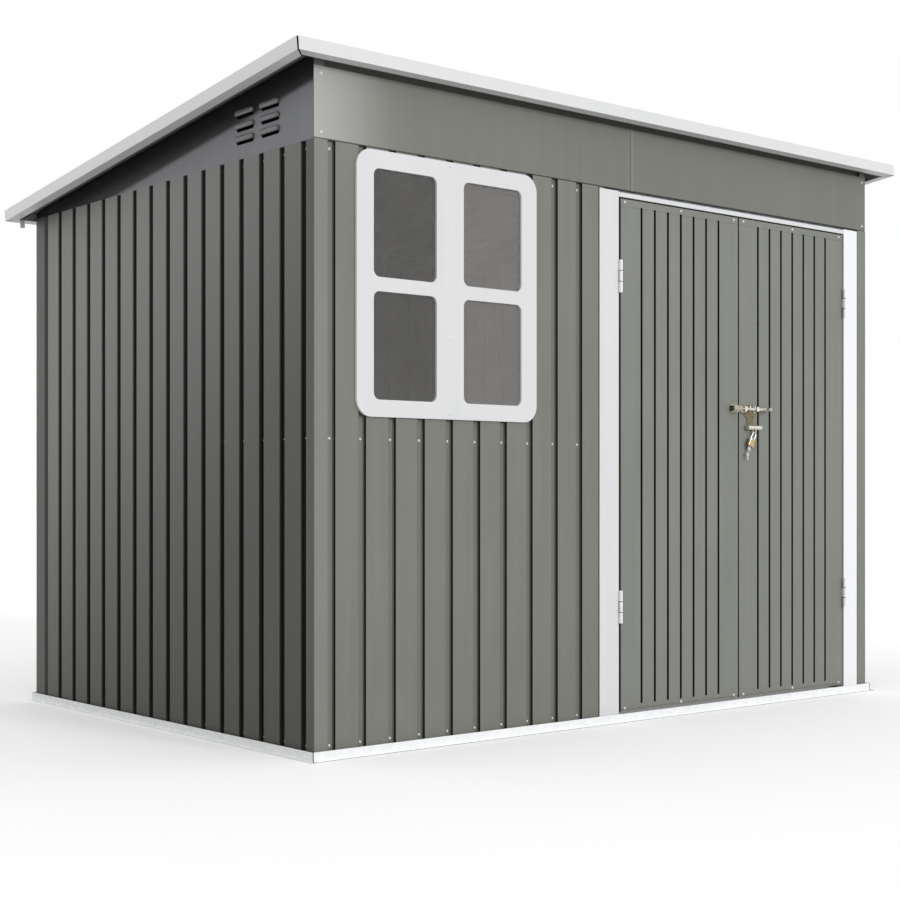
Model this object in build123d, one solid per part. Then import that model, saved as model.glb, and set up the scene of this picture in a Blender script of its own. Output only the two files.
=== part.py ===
from build123d import *
from math import atan, ceil, cos, degrees, floor, hypot, sin
import os

os.makedirs("parts", exist_ok=True)

# Lean-to tool shed of ribbed sheet steel, with a double door and a fixed window.
# All sizes are in millimetres. X runs along the front to the right, Y to the back, Z up.
# The shed coordinates used below start at the front left wall corner, at ground level.
# The finished pieces are moved once, so that the origin is under the middle of the roof.

# Driving sizes of the walls
wall_length = 2463.0            # outer faces, left to right
wall_depth = 1692.5             # outer faces, front to back
window_bottom = 936.0
window_height = 742.0
wall_above_window = 6.0
wall_top = window_bottom + window_height + wall_above_window
sheet = 0.8                     # sheet thickness
rib_pitch = 104.4
groove_width = 26.0
groove_depth = 12.0
groove_taper = 2.5              # how far each groove side leans in
edge_strip = 30.0               # least plain strip left at a ribbed wall's end
roof_edge_strip = 20.0
sheet_lap = 20.0                # sheet edge hidden under a post or a jamb
seat = 0.3                      # gap where one piece rests near another
overrun = 1.0                   # how far a cut-out runs past the faces it cuts
side_joint_groove = 8           # grooves in which two sheets meet
back_joint_grooves = (7, 15)
roof_joint_grooves = (8, 17)

# Driving sizes of the corner posts
post_leg_front_left = 45.5      # legs along the front wall
post_leg_front_right = 49.6
post_leg_side = 36.5            # front posts, legs along the side walls
post_inner_leg = 34.0           # inner angle that carries the panels above the walls
post_inner_lap = 150.0          # how far the inner angle reaches down inside the post

# Driving sizes of the base rail
rail_lip = 12.0                 # foot that shows outside the web
rail_web_offset = 12.0          # web face in front of the wall face
rail_web_height = 26.0
rail_upstand_height = 48.0
rail_gauge = 1.2
rail_mitre_gap = 0.6

# Driving sizes of the inner rails
inner_rail_depth = 25.0
inner_rail_height = 40.0
mid_rail_height = 36.0
mid_rail_centre = 873.0
inner_rail_lip = 9.0
rail_end_gap = 3.0
front_rail_drop = 32.0          # below the wall top
beam_setback = 15.0             # roof beam behind the front wall face

# Driving sizes of the roof
roof_above_frieze = 49.5        # highest edge, at the front, above the frieze's top
roof_slope = 0.12236            # fall for each unit towards the back
roof_side_overhang = 94.4
roof_front_overhang = 58.5
roof_back_overhang = 55.4
trim_face = 38.0
trim_top_flange = 30.0
trim_lip = 36.0
trim_gap = 7.0                  # open mitre where two trims meet
trim_sheet_gap = 2.0            # roof sheet edge behind a trim
eave_tab_width = 17.0
eave_tab_drop = 26.0
eave_tab_hook = 6.0             # turned foot of the tab
eave_tab_inset = 40.0           # from the end of the back trim

# Driving sizes of the frieze and the gable panels
frieze_gap = 1.2                # between the wall sheets and the frieze
frieze_height = 196.8
frieze_flange = 8.0
frieze_seam = 1232.6            # from the left corner
frieze_seam_gap = 1.2
frieze_right_inset = 3.0
gable_corner_gap = 3.0
gable_flange = 20.0             # lies under the roof
gable_flange_end = 150.0        # bare length at its back end
gable_ledge = 20.8              # lies on the wall's top rail
louvre_length = 92.0
louvre_height = 16.0
louvre_proud = 9.0
louvre_round = 6.0
louvre_slot = 8.0               # open mouth along the lower edge
louvre_rows = 3
louvre_columns = 2
louvre_row_pitch = 37.5
louvre_column_pitch = 129.0
louvre_first_y = 212.0          # centre of the column nearer the front
louvre_first_rise = 56.0        # centre of the lowest row above the wall top

# Driving sizes of the doorway
jamb_post_gap = 4.0             # between the right jamb and the right corner post
jamb_left_width = 85.1
doorway_width = 1161.5
jamb_right_width = 77.5
jamb_proud = 2.0
jamb_depth = 38.0
jamb_back_flange = 30.0
jamb_drop = 4.7                 # jamb tops below the wall top
header_drop = 8.0               # header's top below the wall top
header_height = 13.5
header_flange = 4.0

# Driving sizes of the doors
door_bottom = 31.0
door_top_gap = 5.0              # under the header
door_side_gap = 7.0             # between a leaf and its jamb
door_seam = 6.0
door_depth = 18.0
door_groove_count = 7
door_groove_pitch = 62.0
door_groove_width = 10.0
door_groove_depth = 7.0
door_groove_taper = 2.0
door_strip = 20.0               # plain strip above and below the grooves
door_frame_width = 28.0
door_frame_depth = 8.0

# Driving sizes of the hinges
hinge_height = 103.0
hinge_radius = 5.5
hinge_pin_radius = 2.5
hinge_fit = 0.1
hinge_proud = 8.5               # axis in front of the wall face
hinge_plate = 1.4
hinge_plate_depth = 16.0
hinge_knuckle_gap = 0.4
hinge_upper_centre = 1410.0
hinge_lower_centre = 364.0

# Driving sizes of the window
window_left = 137.6             # outer edge of the frame from the left corner
window_width = 673.9
window_proud = 8.0
window_corner = 50.0
pane_width = 226.0
pane_height = 301.5
pane_corner = 20.0
window_side_bar = 59.2
window_bottom_bar = 48.5
window_middle_bar = 101.0
window_cross_bar = 40.0
pane_thickness = 3.0
hole_margin = 28.0              # from the frame's outer edge to the hole in the sheets
window_inner_thickness = 6.0
window_inner_margin = 30.0      # inner frame's edge inside the outer frame's edge
pane_margin = 34.0

# Driving sizes of the latch
bolt_radius = 6.0
bolt_length = 145.0
bolt_height = 1010.0
bolt_proud = 12.0
bolt_start = 0.5                # behind the edge of the right leaf
bolt_knob_place = 0.38          # of the bolt's length, from its middle
bolt_knob_radius = 4.0
bolt_guide_fit = 0.1
bolt_keeper_gap = 1.5
bolt_knob_length = 16.0
guide_width = 12.0
guide_gauge = 2.0
guide_foot = 4.5
latch_plate_gauge = 1.5
latch_plate_inset = 8.0
latch_plate_width = 74.0
latch_plate_above = 14.0        # above the bolt
latch_plate_shoulder = 12.0     # below the bolt, where the plate starts to narrow
latch_plate_slope = 20.0
latch_plate_foot_inset = 30.0   # lower left edge from the upper left edge
latch_plate_foot_width = 36.0
keeper_inset = 0.5
keeper_width = 40.0
keeper_height = 26.0
staple_radius = 8.0
staple_drop = 63.0              # below the bolt
staple_length = 70.0
staple_inset = 21.0             # from the plate's left edge
staple_proud = 12.0
eye_radius = 8.5
eye_hole = 5.0
eye_gauge = 3.0
eye_drop = 13.0                 # below the staple
shackle_radius = 2.2
shackle_width = 17.0
shackle_rise = 27.0
padlock_width = 30.0
padlock_height = 27.0
padlock_depth = 13.0
padlock_corner = 4.3
padlock_swing = 28.0            # degrees off plumb
key_head = 8.0                  # radius
key_head_small = 6.4
key_ring_radius = 6.0
key_ring_wire = 0.9
key_length = 24.0
key_width = 6.0
key_gauge = 1.8

# Values worked out from the driving sizes
frieze_bottom = wall_top + frieze_gap
frieze_top = frieze_bottom + frieze_height
roof_top_front = frieze_top + roof_above_frieze
jamb_top = wall_top - jamb_drop
header_top = wall_top - header_drop
header_bottom = header_top - header_height
roof_angle = atan(roof_slope)
roof_width = wall_length + 2 * roof_side_overhang
roof_run = wall_depth + roof_front_overhang + roof_back_overhang
roof_length = roof_run / cos(roof_angle)
front_reach = roof_front_overhang + trim_face * sin(roof_angle)
back_reach = wall_depth + roof_back_overhang
origin_shift = Pos(-wall_length / 2, -(back_reach - front_reach) / 2, 0)
roof_place = Location(
    (-roof_side_overhang, -roof_front_overhang, roof_top_front), (-degrees(roof_angle), 0, 0)
)
roof_sheet_top = -sheet
roof_underside = roof_sheet_top - groove_depth - sheet
sheet_back = groove_depth + sheet
beam_start = (roof_front_overhang + beam_setback) / cos(roof_angle)
jamb_right_end = wall_length - post_leg_front_right - jamb_post_gap
doorway_right = jamb_right_end - jamb_right_width
doorway_left = doorway_right - doorway_width
jamb_left_start = doorway_left - jamb_left_width
front_ribbed = jamb_left_start - post_leg_front_left
side_ribbed = wall_depth - post_leg_side - groove_width
front_groove_count = floor(front_ribbed / rib_pitch) + 1
side_groove_count = floor((side_ribbed - edge_strip) / rib_pitch) + 1
back_groove_count = floor((wall_length - 2 * edge_strip - groove_width) / rib_pitch) + 1
roof_groove_count = floor((roof_width - 2 * roof_edge_strip - groove_width) / rib_pitch) + 1
post_leg_side_back = side_ribbed - (side_groove_count - 1) * rib_pitch
post_leg_back = (wall_length - groove_width - (back_groove_count - 1) * rib_pitch) / 2
post_return = groove_depth - seat
door_width = (doorway_width - 2 * door_side_gap - door_seam) / 2
door_top = header_bottom - door_top_gap
door_height = door_top - door_bottom
door_seam_centre = (doorway_left + doorway_right) / 2


def underside_z(y):
    """Height of the lowest face of the roof sheets at a place y in the shed."""
    below_edge = (y + roof_front_overhang) * roof_slope
    return roof_top_front - below_edge + roof_underside / cos(roof_angle)


def folded(path, gauge):
    """Face of a folded strip: the path is one side of it, the other is gauge to the left."""
    points = [Vector(*point) for point in path]
    normals = []
    for first, second in zip(points, points[1:]):
        step = second - first
        normals.append(Vector(-step.Y, step.X) / hypot(step.X, step.Y))
    other = [points[0] + normals[0] * gauge]
    for point, before, after in zip(points[1:], normals, normals[1:]):
        both = before + after
        other.append(point + both * (gauge / both.dot(before)))
    other.append(points[-1] + normals[-1] * gauge)
    return make_face(Polyline(*points, *reversed(other), close=True))


def along_x(face, start, end):
    """Extrude a face drawn in (Y, Z) from x = start to x = end."""
    return extrude(Plane.YZ.offset(start) * face, amount=end - start)


def along_y(face, start, end):
    """Extrude a face drawn in (X, Z) from y = start to y = end."""
    return extrude(Plane.XZ.offset(-end) * face, amount=end - start)


def along_z(face, start, end):
    """Extrude a face drawn in (X, Y) from z = start to z = end."""
    return extrude(Plane.XY.offset(start) * face, amount=end - start)


def block(x0, x1, y0, y1, z0, z1):
    """Box between two corners."""
    return Pos((x0 + x1) / 2, (y0 + y1) / 2, (z0 + z1) / 2) * Box(x1 - x0, y1 - y0, z1 - z0)


def mirrored(solid):
    """The same piece on the other side of the shed."""
    return Pos(wall_length, 0, 0) * mirror(solid, about=Plane.YZ)


def save(name, solid, place=origin_shift):
    """Write one node, moved to the part's own origin."""
    export_step(place * solid, f"parts/{name}.step")


# Ribbed sheets
def ribbed_path(start, end, first_groove, grooves, covered=(False, False), out=0.0, into=1.0):
    """Outer face of a ribbed sheet along a wall.

    A covered end runs on at the groove's level, under the post that hides the groove's side.
    """
    deep = out + into * groove_depth
    corners = []
    for number in range(grooves):
        edge = first_groove + number * rib_pitch
        corners += [
            (edge, out),
            (edge + groove_taper, deep),
            (edge + groove_width - groove_taper, deep),
            (edge + groove_width, out),
        ]
    if covered[0]:
        corners = corners[2:]
    if covered[1]:
        corners = corners[:-2]
    kept = [corner for corner in corners if start < corner[0] < end]
    return [(start, kept[0][1])] + kept + [(end, kept[-1][1])]


def wall_sheet(path, bottom, top):
    """Upright ribbed sheet along X with its outer face on y = 0."""
    return along_z(folded(path, sheet), bottom, top)


def side_sheet(start, end):
    """Upright ribbed sheet of the left wall, its outer face on x = 0."""
    path = ribbed_path(start, end, post_leg_side, side_groove_count, (True, True))
    return along_z(folded([(level, s) for s, level in path], -sheet), rail_gauge, wall_top)


# Base rail: foot, web and upstand in one folded ring with mitred corners
def ring_side(section, length, depth, gap):
    """One side of a mitred ring: X along it, Y inwards, ends cut at 45 degrees."""
    inset = gap / 2
    plan = make_face(
        Polyline(
            (inset, 0), (length - inset, 0), (length - inset - depth, depth), (inset + depth, depth), close=True
        )
    )
    low = section.bounding_box().min.Y - overrun
    high = section.bounding_box().max.Y + overrun
    return along_x(section, 0, length) & along_z(plan, low, high)


def ring_places(width, length):
    """Places of the front, right, back and left side of a ring in its own plane."""
    return {
        "front": Location((0, 0, 0)),
        "right": Location((width, 0, 0), (0, 0, 90)),
        "back": Location((width, length, 0), (0, 0, 180)),
        "left": Location((0, length, 0), (0, 0, 270)),
    }


rail_wall_line = rail_lip + rail_web_offset
rail_upstand = rail_wall_line + sheet_back
rail_depth = rail_upstand + rail_gauge
rail_section = (
    Pos(rail_depth / 2, rail_gauge / 2) * Rectangle(rail_depth, rail_gauge)
    + Pos(rail_lip + rail_gauge / 2, rail_web_height / 2) * Rectangle(rail_gauge, rail_web_height)
    + Pos(rail_upstand + rail_gauge / 2, rail_upstand_height / 2)
    * Rectangle(rail_gauge, rail_upstand_height)
)
rail_width = wall_length + 2 * rail_wall_line
rail_length = wall_depth + 2 * rail_wall_line
rail_spans = {"front": rail_width, "back": rail_width, "left": rail_length, "right": rail_length}
rail_place = Pos(-rail_wall_line, -rail_wall_line, 0)
for side, place in ring_places(rail_width, rail_length).items():
    rail = rail_place * place * ring_side(rail_section, rail_spans[side], rail_depth, rail_mitre_gap)
    if side == "front":
        rail -= block(
            jamb_left_start, wall_length, sheet_back - seat, sheet_back + rail_gauge + seat,
            rail_gauge, rail_upstand_height + overrun,
        )
    save(f"base_rail_{side}", rail)


# Corner posts
def corner_post(leg_x, leg_y, top):
    """Folded corner at (0, 0): legs along X and Y, edges turned in to the sheets."""
    path = [(leg_x, post_return), (leg_x, 0), (0, 0), (0, leg_y), (post_return, leg_y)]
    return along_z(folded(path, -sheet), rail_gauge, top)


def inner_angle(leg_x, leg_y, top):
    """Angle inside a post, on which the panels above the walls lie."""
    path = [(leg_x, sheet), (sheet, sheet), (sheet, leg_y)]
    return along_z(folded(path, -rail_gauge), wall_top - post_inner_lap, top)


front_post_top = underside_z(post_inner_leg) - seat
back_post_top = underside_z(wall_depth) - seat
back_wall_top = underside_z(wall_depth - groove_depth) - 2 * seat
front_angle = inner_angle(post_inner_leg, post_inner_leg, front_post_top)
back_angle = inner_angle(post_leg_back - rail_gauge, post_inner_leg, back_post_top)
front_left_post = corner_post(post_leg_front_left, post_leg_side, wall_top) + front_angle
front_right_post = corner_post(post_leg_front_right, post_leg_side, wall_top) + front_angle
back_post = corner_post(post_leg_back, post_leg_side_back, wall_top) + back_angle
back_post = Pos(0, wall_depth, 0) * mirror(back_post, about=Plane.XZ)
save("corner_post_front_left", front_left_post)
save("corner_post_front_right", mirrored(front_right_post))
save("corner_post_back_left", back_post)
save("corner_post_back_right", mirrored(back_post))

# Front wall sheets: joined in the grooves beside the window
first_middle = post_leg_front_left + groove_width / 2
pane_left = window_left + pane_margin
pane_right = window_left + window_width - pane_margin
hole_left = first_middle + floor((pane_left - first_middle) / rib_pitch) * rib_pitch
hole_right = first_middle + ceil((pane_right - first_middle) / rib_pitch) * rib_pitch
hole_bottom = window_bottom + hole_margin
hole_top = window_bottom + window_height - hole_margin


def front_sheet(start, end, bottom, top):
    """Part of the front wall's ribbed skin."""
    path = ribbed_path(start, end, post_leg_front_left, front_groove_count, (True, False))
    return wall_sheet(path, bottom, top)


save("front_wall_left", front_sheet(post_leg_front_left - sheet_lap, hole_left, rail_gauge, wall_top))
save("front_wall_below_window", front_sheet(hole_left, hole_right, rail_gauge, hole_bottom))
save("front_wall_above_window", front_sheet(hole_left, hole_right, hole_top, wall_top))
save("front_wall_right", front_sheet(hole_right, jamb_left_start + sheet_lap, rail_gauge, wall_top))

# Side walls: two sheets each, joined in a groove
side_joint = post_leg_side + side_joint_groove * rib_pitch + groove_width / 2
side_sheets = {
    "front": side_sheet(post_leg_side - sheet_lap, side_joint),
    "back": side_sheet(side_joint, wall_depth - post_leg_side_back + sheet_lap),
}
for part, solid in side_sheets.items():
    save(f"left_wall_{part}", solid)
    save(f"right_wall_{part}", mirrored(solid))

# Back wall: three sheets that reach up to the roof, whose raised ribs leave air slots above them
back_joints = [
    post_leg_back - sheet_lap,
    *[post_leg_back + number * rib_pitch + groove_width / 2 for number in back_joint_grooves],
    wall_length - post_leg_back + sheet_lap,
]
back_place = Location((wall_length, wall_depth, 0), (0, 0, 180))
for name, start, end in zip(("right", "middle", "left"), back_joints, back_joints[1:]):
    path = ribbed_path(start, end, post_leg_back, back_groove_count, (True, True))
    save(f"back_wall_{name}", back_place * wall_sheet(path, rail_gauge, back_wall_top))


# Inner rails: lipped channels behind the sheets
def channel(bottom, top, front):
    """Section (depth, height) of a lipped channel whose back is open."""
    back = front + inner_rail_depth
    path = [
        (back, bottom + inner_rail_lip),
        (back, bottom),
        (front, bottom),
        (front, top),
        (back, top),
        (back, top - inner_rail_lip),
    ]
    return folded(path, -rail_gauge)


side_rail_start = post_leg_side + rail_end_gap
side_rail_end = wall_depth - post_leg_side_back - rail_end_gap
top_rail = channel(wall_top - inner_rail_height, wall_top, sheet_back)
mid_rail = channel(mid_rail_centre - mid_rail_height / 2, mid_rail_centre + mid_rail_height / 2, sheet_back)
for name, section in (("top_rail", top_rail), ("mid_rail", mid_rail)):
    rail = along_y(section, side_rail_start, side_rail_end)
    save(f"{name}_left", rail)
    save(f"{name}_right", mirrored(rail))

back_rail_ends = (post_leg_back + rail_end_gap, wall_length - post_leg_back - rail_end_gap)
back_top = channel(back_wall_top - inner_rail_height, back_wall_top, sheet_back)
save("top_rail_back", back_place * along_x(back_top, *back_rail_ends))
save("mid_rail_back", back_place * along_x(mid_rail, *back_rail_ends))

lintel_bottom = header_bottom + sheet
front_rail_bottom = wall_top - front_rail_drop
front_rail = along_x(
    channel(front_rail_bottom, front_rail_bottom + inner_rail_height, sheet_back),
    post_leg_front_left + rail_end_gap,
    wall_length - post_leg_front_right - rail_end_gap,
)
front_rail -= block(
    jamb_left_start - seat, wall_length, sheet_back - overrun, sheet_back + inner_rail_depth + overrun,
    front_rail_bottom - overrun, lintel_bottom,
)
save("top_rail_front", front_rail)
save(
    "mid_rail_front",
    along_x(mid_rail, post_leg_front_left + rail_end_gap, jamb_left_start - rail_end_gap),
)

# Frieze above the front wall: two plain sheets with turned edges
frieze_section = folded(
    [(frieze_flange, frieze_bottom), (0, frieze_bottom), (0, frieze_top), (frieze_flange, frieze_top)],
    -sheet,
)


def frieze(start, end):
    """One frieze sheet; its turned edges stop short of the corner posts."""
    solid = along_x(frieze_section, start, end)
    for edge in (0, wall_length):
        solid -= block(
            edge - post_inner_leg - rail_end_gap, edge + post_inner_leg + rail_end_gap,
            sheet, frieze_flange + overrun, frieze_bottom - overrun, frieze_top + overrun,
        )
    return solid


save("frieze_left", frieze(0, frieze_seam - frieze_seam_gap / 2))
save("frieze_right", frieze(frieze_seam + frieze_seam_gap / 2, wall_length - frieze_right_inset))


# Gable panels with pressed louvres
def louvre():
    """Hood of one louvre, open along its lower edge; X is outwards, Y along the wall."""
    stadium = SlotOverall(louvre_length, louvre_height)
    hood = extrude(stadium, amount=louvre_proud)
    hood = fillet(hood.faces().sort_by(Axis.Z)[-1].edges(), radius=louvre_round)
    hollow = extrude(SlotOverall(louvre_length - 2 * sheet, louvre_height - 2 * sheet), amount=louvre_proud)
    hollow = Pos(0, -louvre_slot, -sheet) * hollow
    turned = Plane((0, 0, 0), x_dir=(0, -1, 0), z_dir=(-1, 0, 0)).location
    return turned * hood, turned * (Pos(0, 0, -sheet) * hollow + hollow)


def gable_panel():
    """Left gable panel: a wedge of sheet between the wall top and the roof."""
    front = gable_corner_gap
    back = wall_depth - sheet
    outline = Polyline(
        (front, wall_top), (back, wall_top), (back, underside_z(back) - seat),
        (front, underside_z(front) - seat), close=True,
    )
    panel = along_x(make_face(outline), 0, sheet)
    ledge_start = post_leg_side + rail_end_gap
    ledge_end = wall_depth - post_leg_side_back - rail_end_gap
    panel += block(0, gable_ledge, ledge_start, ledge_end, wall_top, wall_top + sheet)
    rafter_start = beam_start + inner_rail_depth + rail_end_gap
    rafter_end = (ledge_end - gable_flange_end + roof_front_overhang) / cos(roof_angle)
    rafter = roof_place * block(
        roof_side_overhang, roof_side_overhang + gable_flange, rafter_start, rafter_end,
        roof_underside - seat - sheet, roof_underside - seat,
    )
    panel += rafter
    hood, hollow = louvre()
    for row in range(louvre_rows):
        for column in range(louvre_columns):
            spot = Pos(
                0,
                louvre_first_y + column * louvre_column_pitch,
                wall_top + louvre_first_rise + row * louvre_row_pitch,
            )
            panel = (panel + spot * hood) - spot * hollow
    return panel


left_gable = gable_panel()
save("gable_panel_left", left_gable)
save("gable_panel_right", mirrored(left_gable))

# Roof beam behind the frieze top, square to the roof slope
beam_path = [
    (beam_start + inner_rail_depth, roof_underside - inner_rail_height + inner_rail_lip),
    (beam_start + inner_rail_depth, roof_underside - inner_rail_height),
    (beam_start, roof_underside - inner_rail_height),
    (beam_start, roof_underside),
    (beam_start + inner_rail_depth, roof_underside),
    (beam_start + inner_rail_depth, roof_underside - inner_rail_lip),
]
beam = along_x(
    folded(beam_path, -rail_gauge),
    roof_side_overhang + sheet + rail_gauge + seat,
    roof_width - roof_side_overhang - sheet - rail_gauge - seat,
)
save("roof_beam_front", roof_place * beam)

# Roof sheets with ribs from front to back
roof_first_groove = (roof_width - (roof_groove_count - 1) * rib_pitch - groove_width) / 2
roof_joints = [
    trim_sheet_gap,
    *[roof_first_groove + number * rib_pitch + groove_width / 2 for number in roof_joint_grooves],
    roof_width - trim_sheet_gap,
]
for name, start, end in zip(("left", "middle", "right"), roof_joints, roof_joints[1:]):
    path = ribbed_path(
        start, end, roof_first_groove, roof_groove_count, out=roof_sheet_top, into=-1.0
    )
    roof = along_y(folded(path, -sheet), trim_sheet_gap, roof_length - trim_sheet_gap)
    save(f"roof_sheet_{name}", roof_place * roof)

# Roof trims: white channel around the four edges
trim_section = folded(
    [(trim_top_flange, 0), (0, 0), (0, -trim_face), (trim_lip, -trim_face)], sheet
)
trim_spans = {"front": roof_width, "back": roof_width, "left": roof_length, "right": roof_length}
for side, place in ring_places(roof_width, roof_length).items():
    trim = ring_side(trim_section, trim_spans[side], trim_lip, trim_gap)
    if side == "back":
        for tab in (eave_tab_inset, roof_width - eave_tab_inset - eave_tab_width):
            trim += block(
                tab, tab + eave_tab_width, trim_lip - sheet, trim_lip,
                -trim_face - eave_tab_drop, -trim_face + sheet,
            )
            trim += block(
                tab, tab + eave_tab_width, trim_lip - eave_tab_hook, trim_lip,
                -trim_face - eave_tab_drop, -trim_face - eave_tab_drop + sheet,
            )
    save(f"roof_trim_{side}", roof_place * place * trim)

# Door jambs and header
jamb_face = -jamb_proud
left_jamb = along_z(
    folded(
        [
            (jamb_left_start, 0),
            (jamb_left_start, jamb_face),
            (doorway_left, jamb_face),
            (doorway_left, jamb_depth),
            (doorway_left - jamb_back_flange, jamb_depth),
        ],
        sheet,
    ),
    rail_gauge,
    jamb_top,
)
right_jamb = along_z(
    folded(
        [
            (jamb_right_end, post_return),
            (jamb_right_end, jamb_face),
            (doorway_right, jamb_face),
            (doorway_right, jamb_depth),
            (doorway_right + jamb_back_flange, jamb_depth),
        ],
        -sheet,
    ),
    rail_gauge,
    jamb_top,
)
lintel_notch = block(
    jamb_left_start - overrun, jamb_right_end + overrun, sheet_back - seat, jamb_depth + overrun,
    lintel_bottom - seat, jamb_top + overrun,
)
save("door_jamb_left", left_jamb - lintel_notch)
save("door_jamb_right", right_jamb - lintel_notch)
header_section = folded(
    [(sheet_back, header_bottom), (jamb_face, header_bottom), (jamb_face, header_top), (header_flange, header_top)],
    -sheet,
)
save("door_header", along_x(header_section, doorway_left + seat, doorway_right - seat))


# Doors: pans with pressed grooves, folded edges and an inner frame
def door_skin():
    """Left leaf's skin with its lower left front corner at (0, 0, 0)."""
    pan = block(0, door_width, 0, door_depth, 0, door_height)
    pan -= block(
        sheet, door_width - sheet, sheet, door_depth + overrun, sheet, door_height - sheet
    )
    first = door_width / 2 - (door_groove_count - 1) / 2 * door_groove_pitch
    low = door_strip
    high = door_height - door_strip
    for number in range(door_groove_count):
        middle = first + number * door_groove_pitch
        half = door_groove_width / 2
        narrow = half - door_groove_taper
        wide = [(-half, 0), (half, 0), (narrow, door_groove_depth), (-narrow, door_groove_depth)]
        outline = [(x * (1 + sheet / half), y + sheet * (y > 0)) for x, y in wide]
        outer = make_face(Polyline(*outline, close=True))
        inner = make_face(Polyline(*wide, close=True))
        pan += Pos(middle, 0, 0) * along_z(outer, low - sheet, high + sheet)
        pan -= Pos(middle, 0, 0) * along_z(inner, low, high)
    return pan


def door_frame():
    """Ring and cross brace inside the leaf, behind the grooves."""
    front = door_depth - door_frame_depth
    gap = sheet
    ring = block(gap, door_width - gap, front, door_depth, gap, door_height - gap)
    ring -= block(
        door_frame_width, door_width - door_frame_width, front - overrun, door_depth + overrun,
        door_frame_width, door_height - door_frame_width,
    )
    middle = door_height / 2
    ring += block(
        door_frame_width, door_width - door_frame_width, front, door_depth,
        middle - door_frame_width, middle + door_frame_width,
    )
    return ring


left_leaf = Pos(doorway_left + door_side_gap, 0, door_bottom)
right_leaf = Pos(doorway_right - door_side_gap - door_width, 0, door_bottom)
skin = door_skin()
frame = door_frame()
save("door_left_skin", left_leaf * skin)
save("door_right_skin", right_leaf * skin)
save("door_left_frame", left_leaf * frame)
save("door_right_frame", right_leaf * frame)


# Hinges: three knuckles on a pin, the middle one on the door
def knuckle(low, high, radius):
    """Upright cylinder on the hinge axis between two heights."""
    return Pos(0, 0, (low + high) / 2) * Cylinder(radius, high - low)


def hinge_pair(side):
    """Fixed and moving half of one hinge on an axis at (0, 0); side is +1 at the left jamb."""
    half = hinge_height / 2
    third = hinge_height / 6
    reach = door_side_gap / 2
    fixed_plate = (
        (-reach, -reach + hinge_plate) if side > 0 else (reach - hinge_plate, reach)
    )
    moving_plate = (
        (reach - hinge_plate, reach) if side > 0 else (-reach, -reach + hinge_plate)
    )
    fixed = knuckle(-half, half, hinge_pin_radius)
    for low, high in ((-half, -third - hinge_knuckle_gap), (third + hinge_knuckle_gap, half)):
        fixed += knuckle(low, high, hinge_radius)
        fixed += block(*fixed_plate, 0, hinge_proud + hinge_plate_depth, low, high)
    moving = knuckle(-third, third, hinge_radius)
    moving += block(*moving_plate, 0, hinge_proud + hinge_plate_depth, -third, third)
    moving -= knuckle(-half, half, hinge_pin_radius + hinge_fit)
    return fixed, moving


for name, axis_x, side in (
    ("left", doorway_left + door_side_gap / 2, 1),
    ("right", doorway_right - door_side_gap / 2, -1),
):
    fixed, moving = hinge_pair(side)
    spots = [Pos(axis_x, -hinge_proud, z) for z in (hinge_lower_centre, hinge_upper_centre)]
    save(f"hinge_{name}_jamb_half", Compound([spot * fixed for spot in spots]))
    save(f"hinge_{name}_door_half", Compound([spot * moving for spot in spots]))


# Window: two rounded frames with the pane between them
def window_face(margin=0.0):
    """Rounded outline of the window with its four openings, drawn in (X, Z)."""
    outline = RectangleRounded(
        window_width - 2 * margin, window_height - 2 * margin, window_corner - margin
    )
    face = Pos(window_left + window_width / 2, window_bottom + window_height / 2) * outline
    first_x = window_left + window_side_bar + pane_width / 2
    first_z = window_bottom + window_bottom_bar + pane_height / 2
    for column in range(2):
        for row in range(2):
            face -= Pos(
                first_x + column * (pane_width + window_middle_bar),
                first_z + row * (pane_height + window_cross_bar),
            ) * RectangleRounded(pane_width, pane_height, pane_corner)
    return face


save("window_frame_outer", along_y(window_face(), -window_proud, 0))
pane = block(
    pane_left, pane_right, 0, pane_thickness,
    window_bottom + pane_margin, window_bottom + window_height - pane_margin,
)
save("window_pane", pane)
save(
    "window_frame_inner",
    along_y(window_face(window_inner_margin), pane_thickness, pane_thickness + window_inner_thickness),
)


# Latch on the right leaf, keeper on the left leaf
def strap(x0, x1, gap):
    """Raised strap with feet: the bolt passes between it and the door, with a gap around it."""
    inside = bolt_radius + gap
    top = bolt_height + inside
    bottom = bolt_height - inside
    front = -bolt_proud - inside
    path = [
        (-latch_plate_gauge, top + guide_foot), (-latch_plate_gauge, top), (front, top),
        (front, bottom), (-latch_plate_gauge, bottom), (-latch_plate_gauge, bottom - guide_foot),
    ]
    return along_x(folded(path, -guide_gauge), x0, x1)


latch_edge = door_seam_centre + door_seam / 2
keeper_edge = door_seam_centre - door_seam / 2
plate_left = latch_edge + latch_plate_inset
plate_right = plate_left + latch_plate_width
plate_foot_left = plate_left + latch_plate_foot_inset
plate_foot_right = plate_foot_left + latch_plate_foot_width
staple_height = bolt_height - staple_drop
plate_top = bolt_height + latch_plate_above
plate_shoulder = bolt_height - latch_plate_shoulder
plate_waist = plate_shoulder - latch_plate_slope
plate_bottom = staple_height - staple_radius
plate_outline = Polyline(
    (plate_left, plate_top), (plate_left, plate_shoulder), (plate_foot_left, plate_waist),
    (plate_foot_left, plate_bottom), (plate_foot_right, plate_bottom),
    (plate_foot_right, plate_waist), (plate_right, plate_shoulder), (plate_right, plate_top), close=True,
)
latch_plate = along_y(make_face(plate_outline), -latch_plate_gauge, 0)
for start in (plate_left, plate_right - guide_width):
    latch_plate += strap(start, start + guide_width, bolt_guide_fit)
staple_left = plate_left + staple_inset
staple_y = -staple_proud
barrel = Pos(staple_left + staple_length / 2, staple_y, staple_height) * Rot(0, 90, 0)
latch_plate += barrel * Cylinder(staple_radius, staple_length)
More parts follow.
